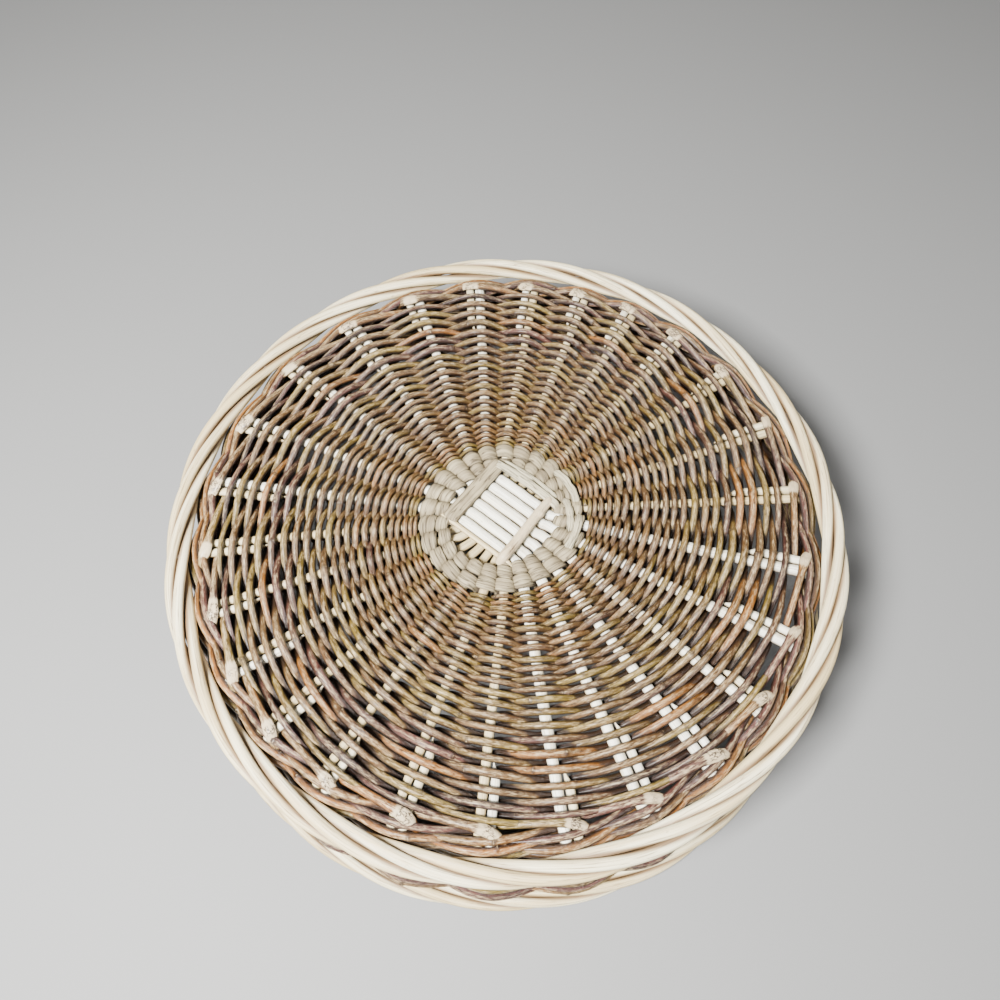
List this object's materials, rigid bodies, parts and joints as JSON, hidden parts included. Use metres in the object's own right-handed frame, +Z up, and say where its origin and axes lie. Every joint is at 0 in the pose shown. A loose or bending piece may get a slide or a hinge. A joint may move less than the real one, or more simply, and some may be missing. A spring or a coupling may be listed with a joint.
{
  "type": "onion basket",
  "caption": "Shallow round willow basket for onions, lying upside down on its rolled rim with its woven stick base uppermost.",
  "frame": {"origin": "middle of the basket's footprint, on the surface that the rim stands on", "axes": "+Z up out of the base's outer face, -Y to the side nearest the camera, +X to the picture's right"},
  "size_m": [0.4516, 0.4515, 0.0997],
  "materials": {
    "peeled_willow": "peeled rod, satin",
    "brown_willow": "bark left on, satin",
    "rush": "dry rush leaf, matt"
  },
  "bodies": {
    "root": {"under_base_stick_1": "peeled_willow", "under_base_stick_2": "peeled_willow", "under_base_stick_3": "peeled_willow", "under_base_stick_4": "peeled_willow", "under_base_stick_5": "peeled_willow", "under_base_stick_6": "peeled_willow", "under_base_stick_7": "peeled_willow", "over_base_stick_1": "peeled_willow", "over_base_stick_2": "peeled_willow", "over_base_stick_3": "peeled_willow", "over_base_stick_4": "peeled_willow", "over_base_stick_5": "peeled_willow", "over_base_stick_6": "peeled_willow", "side_stake_01": "peeled_willow", "side_stake_02": "peeled_willow", "side_stake_03": "peeled_willow", "side_stake_04": "peeled_willow", "side_stake_05": "peeled_willow", "side_stake_06": "peeled_willow", "side_stake_07": "peeled_willow", "side_stake_08": "peeled_willow", "side_stake_09": "peeled_willow", "side_stake_10": "peeled_willow", "side_stake_11": "peeled_willow", "side_stake_12": "peeled_willow", "side_stake_13": "peeled_willow", "side_stake_14": "peeled_willow", "side_stake_15": "peeled_willow", "side_stake_16": "peeled_willow", "side_stake_17": "peeled_willow", "side_stake_18": "peeled_willow", "side_stake_19": "peeled_willow", "side_stake_20": "peeled_willow", "side_stake_21": "peeled_willow", "side_stake_22": "peeled_willow", "side_stake_23": "peeled_willow", "side_stake_24": "peeled_willow", "side_stake_25": "peeled_willow", "side_stake_26": "peeled_willow", "wale_strand_1": "peeled_willow", "wale_strand_2": "peeled_willow", "rim_border_strand_1": "peeled_willow", "rim_border_strand_2": "peeled_willow", "slath_binding": "rush", "slath_tie": "rush", "base_weave_fine": "brown_willow", "base_weave_thick": "brown_willow", "kinked_edge_row": "brown_willow", "edge_row_1": "brown_willow", "edge_row_2": "brown_willow", "inner_corner_row": "brown_willow", "wall_weave": "brown_willow"}
  },
  "joints": []
}
